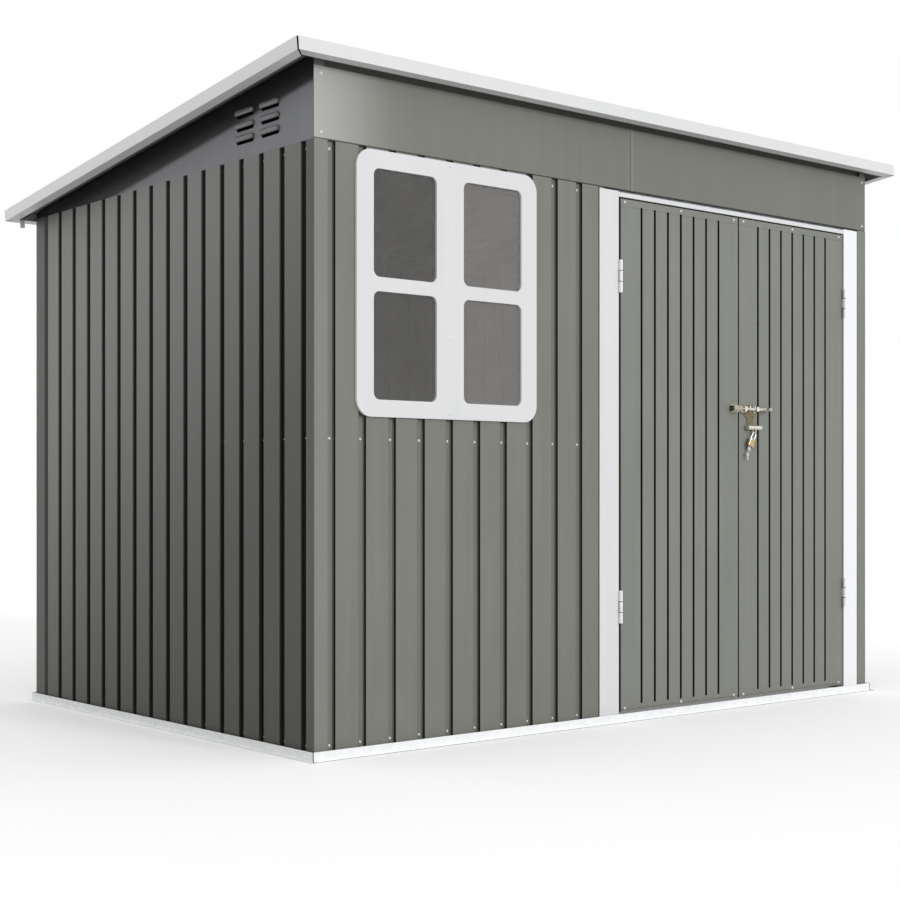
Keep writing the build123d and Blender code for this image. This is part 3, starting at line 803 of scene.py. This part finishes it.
# Finish of each node, by how its name starts: the first row that fits holds
NODE_FINISHES: tuple[tuple[str, Finish], ...] = (
    ("front_wall", FRONT_GREY),
    ("left_wall", SIDE_GREY_LEFT),
    ("right_wall", SIDE_GREY_RIGHT),
    ("back_wall", BACK_GREY),
    ("corner_post", POST_GREY),
    ("frieze", FRIEZE_GREY),
    ("gable_panel", GABLE_GREY),
    ("roof_sheet", ROOF_GREY),
    ("roof_trim_front", FRONT_TRIM_WHITE),
    ("roof_trim_back", LIT_WHITE),
    ("roof_trim", TRIM_WHITE),
    ("roof_beam", ROOF_GREY),
    ("top_rail", INNER_GALVANISED),
    ("mid_rail", INNER_GALVANISED),
    ("base_rail_front", FRONT_RAIL_ZINC),
    ("base_rail", GALVANISED),
    ("door_jamb_right", LIT_WHITE),
    ("door_jamb_left", WHITE_COAT),
    ("door_header", WHITE_COAT),
    ("door_left_skin", DOOR_GREY),
    ("door_right_skin", DOOR_GREY),
    ("door_left_frame", INNER_GALVANISED),
    ("door_right_frame", INNER_GALVANISED),
    ("hinge", HINGE_WHITE),
    ("window_frame", WHITE_COAT),
    ("window_pane", PANE),
    ("latch_plate", YELLOW_ZINC),
    ("latch_keeper", KEEPER_STEEL),
    ("latch_bolt", BRIGHT),
    ("padlock", BRASS),
    ("keys", NICKEL),
)


# Modelling helpers


def lay_out(name: str, mesh: bmesh.types.BMesh, material: bpy.types.Material) -> bpy.types.Object:
    """Turn a bmesh into an object at the origin.

    Args:
        name: Name of the object and its mesh.
        mesh: The shape, in the part's frame.
        material: Its finish.

    Returns:
        The new object, in the scene.
    """
    data = bpy.data.meshes.new(name)
    mesh.to_mesh(data)
    mesh.free()
    data.materials.append(material)
    item = bpy.data.objects.new(name, data)
    bpy.context.scene.collection.objects.link(item)
    return item


def make_piece(
    name: str, mesh: bmesh.types.BMesh, material: bpy.types.Material, body: Body
) -> bpy.types.Object:
    """Turn a bmesh into a finished piece on a body.

    Args:
        name: Name of the piece.
        mesh: The shape, in the part's frame.
        material: Its finish.
        body: The body that carries it.

    Returns:
        The new object, at the origin.
    """
    piece = lay_out(name, mesh, material)
    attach(piece, body.value)
    return piece


def repeat(one: bmesh.types.BMesh, places: list[Matrix]) -> bmesh.types.BMesh:
    """Copy a shape to every place, and free the shape itself.

    Args:
        one: The shape round its own zero.
        places: Place and turn of each copy.

    Returns:
        One bmesh with all the copies.
    """
    pattern = bpy.data.meshes.new("pattern")
    one.to_mesh(pattern)
    one.free()
    together = bmesh.new()
    for place in places:
        start = len(together.verts)
        together.from_mesh(pattern)
        together.verts.ensure_lookup_table()
        bmesh.ops.transform(together, matrix=place, verts=together.verts[start:])
    bpy.data.meshes.remove(pattern)
    return together


def lathe(
    mesh: bmesh.types.BMesh, profile: list[tuple[float, float]], steps: int
) -> list[bmesh.types.BMVert]:
    """Spin a profile about the Z axis into a closed solid.

    Args:
        mesh: The bmesh that gets it.
        profile: Radius and height of each point in millimetres, from the axis back to the axis.
        steps: Number of flats round the axis.

    Returns:
        The new vertices.
    """
    rim = [mesh.verts.new((radius * MM, 0.0, height * MM)) for radius, height in profile]
    edges = [mesh.edges.new(pair) for pair in zip(rim, rim[1:])]
    before = set(mesh.verts) - set(rim)
    bmesh.ops.spin(
        mesh, geom=rim + edges, cent=(0, 0, 0), axis=(0, 0, 1), angle=math.tau, steps=steps, use_merge=True
    )
    new = [vert for vert in mesh.verts if vert not in before]
    bmesh.ops.remove_doubles(mesh, verts=new, dist=MERGE)
    new = [vert for vert in mesh.verts if vert not in before]
    faces = list({face for vert in new for face in vert.link_faces})
    bmesh.ops.recalc_face_normals(mesh, faces=faces)
    return new


@dataclass(frozen=True)
class ScrewHead:
    """Head of a sheet metal screw with its washer, in millimetres."""

    washer_radius: float = 4.2
    washer_height: float = 1.0
    washer_bevel: float = 0.4
    head_radius: float = 3.2
    head_height: float = 2.6
    head_bevel: float = 0.4
    recess_radius: float = 1.5
    recess_rim: float = 0.3
    recess_depth: float = 1.2
    sunk: float = 0.1
    steps: int = 12

    def profile(self) -> list[tuple[float, float]]:
        """Draw the head's outline, from the underside to the recess.

        Returns:
            Radius and height of each point.
        """
        top = self.washer_height + self.head_height
        return [
            (0.0, -self.sunk),
            (self.washer_radius, -self.sunk),
            (self.washer_radius, self.washer_height * 0.6),
            (self.washer_radius - self.washer_bevel, self.washer_height),
            (self.head_radius, self.washer_height),
            (self.head_radius, self.washer_height + self.head_height * 0.4),
            (self.head_radius * 0.8, top - self.head_bevel),
            (self.recess_radius + self.recess_rim, top),
            (self.recess_radius, top),
            (self.recess_radius * 0.6, top - self.recess_depth),
            (0.0, top - self.recess_depth),
        ]

    def row(self, places: list[Matrix]) -> bmesh.types.BMesh:
        """Copy the head to every place.

        Args:
            places: Where each head sits, its +Z pointing away from the sheet.

        Returns:
            One bmesh with all the heads.
        """
        one = bmesh.new()
        lathe(one, self.profile(), self.steps)
        return repeat(one, places)


@dataclass
class ScrewRows:
    """All the screws that hold the sheets, trims and frames, row by row, in shed millimetres."""

    shelf: FinishShelf
    head: ScrewHead = ScrewHead()
    front_count: int = 10
    side_count: int = 16
    back_count: int = 23
    bottom_row: float = 35.6
    middle_row: float = 873.5
    top_row: float = 1663.0
    back_top_row: float = 1683.0
    window_span: tuple[float, float] = (137.6, 811.5)
    window_foot: float = 936.0
    window_bar: float = 473.5
    window_face: float = -8.0
    window_rows: tuple[float, ...] = (952.1, 1168.9, 1478.3, 1666.7)
    frieze_ends: tuple[float, float] = (23.5, 2442.0)
    frieze_rows: tuple[float, float] = (1702.0, 1862.0)
    door_left_start: float = 1177.4
    door_right_start: float = 1754.15
    door_width: float = 570.75
    door_inset: float = 22.0
    door_rows: tuple[float, float] = (40.5, 1648.0)

    def at(self, facing: Facing, x: float, y: float, z: float) -> Matrix:
        """Place of a screw at a point given in shed millimetres."""
        return Matrix.Translation(spot(x, y, z)) @ facing.turn()

    def grooves(self, first: float, count: int) -> list[float]:
        """Middles of a wall's grooves, from the start of its first one."""
        return [first + GROOVE_MIDDLE + number * RIB_PITCH for number in range(count)]

    def front_wall(self) -> list[Matrix]:
        """Place the screws in the front wall's grooves, without those that the window covers.

        Returns:
            The places, groove by groove.
        """
        places = []
        for x in self.grooves(FRONT_GROOVE, self.front_count):
            for z in (self.bottom_row, self.middle_row, self.top_row):
                if z > self.window_foot and self.window_span[0] < x < self.window_span[1]:
                    continue
                places.append(self.at(Facing.FRONT, x, GROOVE_DEPTH, z))
        return places

    def side_wall(self, facing: Facing) -> list[Matrix]:
        """Place the screws in a side wall's grooves.

        Args:
            facing: Which side wall, left or right.

        Returns:
            The places, groove by groove.
        """
        x = GROOVE_DEPTH if facing is Facing.LEFT else WALL_LENGTH - GROOVE_DEPTH
        return [
            self.at(facing, x, y, z)
            for y in self.grooves(SIDE_GROOVE, self.side_count)
            for z in (self.bottom_row, self.middle_row, self.top_row)
        ]

    def back_wall(self) -> list[Matrix]:
        """Place the screws in the back wall's grooves.

        Returns:
            The places, groove by groove.
        """
        return [
            self.at(Facing.BACK, x, WALL_DEPTH - GROOVE_DEPTH, z)
            for x in self.grooves(BACK_GROOVE, self.back_count)
            for z in (self.bottom_row, self.middle_row, self.back_top_row)
        ]

    def frieze(self) -> list[Matrix]:
        """Screws at the two ends of the frieze."""
        return [self.at(Facing.FRONT, x, 0.0, z) for x in self.frieze_ends for z in self.frieze_rows]

    def window(self) -> list[Matrix]:
        """Screws in the window frame's middle bar."""
        return [self.at(Facing.FRONT, self.window_bar, self.window_face, z) for z in self.window_rows]

    def door(self, start: float) -> list[Matrix]:
        """Place the screws in the plain strips above and below a door's grooves.

        Args:
            start: The door's left edge.

        Returns:
            The places, from left to right.
        """
        across = (self.door_inset, self.door_width / 2, self.door_width - self.door_inset)
        return [self.at(Facing.FRONT, start + x, 0.0, z) for x in across for z in self.door_rows]

    def build(self) -> None:
        """Make every row of screws as one piece for each wall."""
        zinc = self.shelf.get(SCREW_ZINC)
        rows = (
            ("screws_front_wall", self.front_wall(), Body.SHED),
            ("screws_left_wall", self.side_wall(Facing.LEFT), Body.SHED),
            ("screws_right_wall", self.side_wall(Facing.RIGHT), Body.SHED),
            ("screws_back_wall", self.back_wall(), Body.SHED),
            ("screws_frieze", self.frieze(), Body.SHED),
            ("screws_window", self.window(), Body.SHED),
            ("screws_door_left", self.door(self.door_left_start), Body.DOOR_LEFT),
            ("screws_door_right", self.door(self.door_right_start), Body.DOOR_RIGHT),
        )
        for name, places, body in rows:
            make_piece(name, self.head.row(places), zinc, body)
            LOG.info("%s: %d heads", name, len(places))


@dataclass
class RoofScrews:
    """Sealed screws in the roof sheets' grooves, along the front and the back eave, in millimetres."""

    shelf: FinishShelf
    head: ScrewHead = ScrewHead(washer_radius=8.0, washer_height=1.6, head_radius=5.0, head_height=3.4)
    slope: float = 0.12236
    top_front: float = 1931.5
    overhang_front: float = 58.5
    first_groove: float = -34.3
    count: int = 25
    groove_floor: float = 12.8
    rows: tuple[float, float] = (25.0, 1664.5)

    def build(self) -> None:
        """Make the two rows as one piece."""
        tilt = Matrix.Rotation(-math.atan(self.slope), 4, "X")
        places = []
        for number in range(self.count):
            x = self.first_groove + GROOVE_MIDDLE + number * RIB_PITCH
            for y in self.rows:
                z = self.top_front - (y + self.overhang_front) * self.slope - self.groove_floor
                places.append(Matrix.Translation(spot(x, y, z)) @ tilt)
        zinc = self.shelf.get(SCREW_ZINC)
        make_piece("screws_roof", self.head.row(places), zinc, Body.SHED)
        LOG.info("screws_roof: %d heads", len(places))


@dataclass
class FriezeStrip:
    """Narrow cover strip over the joint of the two frieze sheets, in millimetres."""

    shelf: FinishShelf
    middle: float = 1232.6
    width: float = 12.0
    proud: float = 1.6
    bottom: float = 1686.0
    top: float = 1881.0
    edge_radius: float = 0.9

    def build(self) -> None:
        """Make the strip with softened long edges."""
        mesh = bmesh.new()
        size = Vector((self.width, self.proud, self.top - self.bottom)) * MM
        middle = spot(self.middle, -self.proud / 2, (self.top + self.bottom) / 2)
        shape = Matrix.Translation(middle) @ Matrix.Diagonal((*size, 1.0))
        bmesh.ops.create_cube(mesh, size=1.0, matrix=shape)
        long_edges = [
            edge for edge in mesh.edges
            if abs(edge.verts[0].co.z - edge.verts[1].co.z) > size.z / 2
            and edge.verts[0].co.y < middle.y
        ]
        bmesh.ops.bevel(
            mesh, geom=long_edges, offset=self.edge_radius * MM, offset_type="OFFSET", segments=3,
            profile=0.5, affect="EDGES", clamp_overlap=True, material=-1,
        )
        make_piece("frieze_cover_strip", mesh, self.shelf.get(POST_GREY), Body.SHED)
        LOG.info("frieze_cover_strip made")


@dataclass
class LouvreHoods:
    """Pressed hoods over the louvres of both gable panels, open along their lower edge.

    Sizes are in millimetres. The crown is the width and the rise of each step from the shoulder in.
    """

    shelf: FinishShelf
    length: float = 94.0
    height: float = 18.0
    shoulder: float = 5.0
    crown: tuple[tuple[float, float], ...] = ((0.8, 2.0), (1.4, 1.6), (2.4, 1.1), (2.6, 0.3))
    gauge: float = 0.6
    mouth_share: float = 0.55
    columns: tuple[float, float] = (212.0, 341.0)
    rows: tuple[float, float, float] = (1740.0, 1777.5, 1815.0)
    steps: int = 32

    def hood(self) -> bmesh.types.BMesh:
        """Shape one hood.

        Returns:
            The hood with X along the wall, Y up and Z outwards.
        """
        mesh = bmesh.new()
        radius = self.height / 2 * MM
        bmesh.ops.create_circle(mesh, cap_ends=True, segments=self.steps, radius=radius)
        reach = self.length / 2 * MM - radius
        for side in (-1, 1):
            half = [vert for vert in mesh.verts if vert.co.x * side > MERGE]
            bmesh.ops.translate(mesh, verts=half, vec=(side * reach, 0.0, 0.0))
        base = mesh.faces[:]
        wall = bmesh.ops.extrude_face_region(mesh, geom=base)
        face = next(item for item in wall["geom"] if isinstance(item, bmesh.types.BMFace))
        bmesh.ops.translate(mesh, verts=face.verts, vec=(0.0, 0.0, self.shoulder * MM))
        for width, rise in self.crown:
            bmesh.ops.inset_region(
                mesh, faces=[face], thickness=width * MM, depth=rise * MM, use_even_offset=True
            )
        mesh.normal_update()
        # The mouth: the faces low on the hood that look straight down
        low = -radius * self.mouth_share
        open_faces = [
            item for item in mesh.faces
            if item in base or (item.normal.y < -0.8 and item.calc_center_median().y < low)
        ]
        bmesh.ops.delete(mesh, geom=open_faces, context="FACES")
        bmesh.ops.recalc_face_normals(mesh, faces=mesh.faces)
        bmesh.ops.solidify(mesh, geom=mesh.faces[:], thickness=self.gauge * MM)
        for item in mesh.faces:
            item.smooth = True
        return mesh

    def build(self) -> None:
        """Copy the hood to every louvre of both gables."""
        for name, face_x, side in (("left", 0.0, -1.0), ("right", WALL_LENGTH, 1.0)):
            # Takes the hood's X, Y and Z to the wall's run, up and outwards
            outwards = Matrix(
                ((0.0, 0.0, side, 0.0), (side, 0.0, 0.0, 0.0), (0.0, 1.0, 0.0, 0.0), (0.0, 0.0, 0.0, 1.0))
            )
            places = [
                Matrix.Translation(spot(face_x, y, z)) @ outwards for y in self.columns for z in self.rows
            ]
            hoods = repeat(self.hood(), places)
            make_piece(f"louvre_hoods_{name}", hoods, self.shelf.get(HOOD_GREY), Body.SHED)
            LOG.info("louvre_hoods_%s: %d hoods", name, len(places))


@dataclass
class WindowFrame:
    """Outer window frame with rounded outer and inner edges, made from the CAD frame, in millimetres."""

    shelf: FinishShelf
    edge_radius: float = 2.4
    front_band: float = 0.01
    flat_angle: float = 0.5
    rim_angle: float = 60.0

    def build(self) -> None:
        """Round the front edges of a merged copy of the frame."""
        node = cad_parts["window_frame_outer"]
        mesh = bmesh.new()
        mesh.from_mesh(node.data)
        bmesh.ops.remove_doubles(mesh, verts=mesh.verts, dist=MERGE)
        bmesh.ops.dissolve_limit(
            mesh, angle_limit=math.radians(self.flat_angle), verts=mesh.verts, edges=mesh.edges
        )
        front = min(vert.co.y for vert in mesh.verts) + self.front_band * MM
        rims = [
            edge for edge in mesh.edges
            if all(vert.co.y < front for vert in edge.verts)
            and len(edge.link_faces) == 2 and edge.calc_face_angle() > math.radians(self.rim_angle)
        ]
        bmesh.ops.bevel(
            mesh, geom=rims, offset=self.edge_radius * MM, offset_type="OFFSET", segments=3, profile=0.5,
            affect="EDGES", clamp_overlap=True, material=-1,
        )
        bmesh.ops.recalc_face_normals(mesh, faces=mesh.faces)
        white = self.shelf.get(WHITE_COAT)
        piece = make_piece("window_frame_front", mesh, white, Body.SHED)
        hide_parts("window_frame_outer")
        LOG.info("window_frame_front: %d rim edges rounded", len(rims))


@dataclass
class LatchFittings:
    """Rivets of the latch plate, and the turned knob on the bolt, in shed millimetres."""

    shelf: FinishShelf
    rivet: ScrewHead = ScrewHead(
        washer_radius=3.0, washer_height=0.4, head_radius=2.8, head_height=1.2,
        recess_radius=0.8, recess_depth=0.2,
    )
    rivet_columns: tuple[float, float] = (1783.0, 1812.0)
    rivet_rows: tuple[float, float] = (1018.0, 1002.0)
    plate_face: float = -1.5
    knob_place: tuple[float, float, float] = (1882.25, -26.0, 1010.0)
    knob_profile: tuple[tuple[float, float], ...] = (
        (0.0, 0.0), (4.4, 0.0), (4.4, 1.0), (6.2, 2.4), (6.8, 4.6), (6.2, 6.8), (4.2, 8.4), (0.0, 9.0)
    )
    knob_steps: int = 20

    def place(self, x: float, y: float, z: float) -> Matrix:
        """Place of a fitting that points to the front."""
        return Matrix.Translation(spot(x, y, z)) @ Facing.FRONT.turn()

    def build(self) -> None:
        """Make the rivets and the knob."""
        bright = self.shelf.get(BRIGHT)
        places = [self.place(x, self.plate_face, z) for x in self.rivet_columns for z in self.rivet_rows]
        make_piece("rivets_latch", self.rivet.row(places), bright, Body.DOOR_RIGHT)
        LOG.info("rivets_latch: %d rivets", len(places))
        mesh = bmesh.new()
        knob = lathe(mesh, list(self.knob_profile), self.knob_steps)
        bmesh.ops.transform(mesh, matrix=self.place(*self.knob_place), verts=knob)
        make_piece("bolt_knob", mesh, bright, Body.BOLT)
        LOG.info("bolt_knob made")


@dataclass
class SteelFrame:
    """The CAD nodes, which keep their shapes and get their finishes."""

    shelf: FinishShelf

    def finish_for(self, name: str) -> Finish:
        """Return the finish of a node by its name."""
        return next(finish for start, finish in NODE_FINISHES if name.startswith(start))

    def build(self) -> None:
        """Give every node its material."""
        for name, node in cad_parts.items():
            material = self.shelf.get(self.finish_for(name))
            node.data.materials.clear()
            node.data.materials.append(material)
            LOG.info("%s: %s", name, material.name)


@dataclass
class Studio:
    """Pale floor, white surroundings, a key light and the camera, in metres and degrees."""

    shelf: FinishShelf
    floor_size: float = 40.0
    floor_drop: float = 0.0005
    world_strength: float = 0.8
    key_strength: float = 1.2
    key_azimuth: float = 12.0
    key_elevation: float = 15.0
    key_angle: float = 14.0
    camera_place: tuple[float, float, float] = (-3.73085, -4.42160, 0.72614)
    camera_turn: float = -39.7546
    lens: float = 64.473
    sensor: float = 36.0
    shift_y: float = 0.047135
    view_reach: float = 200.0

    def floor(self) -> None:
        """Lay the floor just below the base rail."""
        mesh = bmesh.new()
        bmesh.ops.create_grid(mesh, x_segments=1, y_segments=1, size=self.floor_size)
        bmesh.ops.translate(mesh, verts=mesh.verts, vec=(0.0, 0.0, -self.floor_drop))
        paper = self.shelf.get(StudioGround(name="studio_floor"))
        lay_out("studio_floor", mesh, paper)

    def world(self) -> None:
        """White where the camera, glass or metal sees it, and a plain level as a light."""
        world = bpy.data.worlds.new("studio")
        bpy.context.scene.world = world
        world.use_nodes = True
        tree = world.node_tree
        tree.nodes.clear()
        path = add_node(tree, "ShaderNodeLightPath")
        seen = path.outputs["Is Camera Ray"]
        for ray in ("Is Glossy Ray", "Is Transmission Ray"):
            seen = add_node(
                tree, "ShaderNodeMath", {0: seen, 1: path.outputs[ray]}, operation="MAXIMUM"
            ).outputs[0]
        light, white = (
            add_node(tree, "ShaderNodeBackground", {"Color": (1, 1, 1, 1), "Strength": strength}).outputs[0]
            for strength in (self.world_strength, 1.0)
        )
        both = add_node(tree, "ShaderNodeMixShader", {0: seen, 1: light, 2: white})
        add_node(tree, "ShaderNodeOutputWorld", {"Surface": both.outputs[0]})

    def key(self) -> None:
        """Soft key light from the front right."""
        data = bpy.data.lights.new("key", "SUN")
        data.energy = self.key_strength
        data.angle = math.radians(self.key_angle)
        lamp = bpy.data.objects.new("key", data)
        around = math.radians(self.key_azimuth)
        up = math.radians(self.key_elevation)
        source = Vector(
            (math.sin(around) * math.cos(up), -math.cos(around) * math.cos(up), math.sin(up))
        )
        lamp.rotation_mode = "QUATERNION"
        lamp.rotation_quaternion = source.to_track_quat("Z", "Y")
        bpy.context.scene.collection.objects.link(lamp)

    def camera(self) -> None:
        """Level camera at the photograph's place, with its view shifted up."""
        data = bpy.data.cameras.new("camera")
        data.lens = self.lens
        data.sensor_width = self.sensor
        data.shift_y = self.shift_y
        data.clip_end = self.view_reach
        camera = bpy.data.objects.new("camera", data)
        camera.location = self.camera_place
        camera.rotation_euler = (math.radians(90.0), 0.0, math.radians(self.camera_turn))
        bpy.context.scene.collection.objects.link(camera)
        bpy.context.scene.camera = camera

    def build(self) -> None:
        """Make the studio."""
        self.floor()
        self.world()
        self.key()
        self.camera()
        bpy.context.scene.view_settings.view_transform = "Standard"
        LOG.info("studio ready")


def main() -> None:
    """Build the dressed shed and its studio."""
    logging.basicConfig(level=logging.INFO, format="%(message)s")
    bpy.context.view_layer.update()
    shelf = FinishShelf()
    SteelFrame(shelf).build()
    WindowFrame(shelf).build()
    FriezeStrip(shelf).build()
    LouvreHoods(shelf).build()
    ScrewRows(shelf).build()
    RoofScrews(shelf).build()
    LatchFittings(shelf).build()
    Studio(shelf).build()
    bpy.context.view_layer.update()


if __name__ == "__main__":
    main()
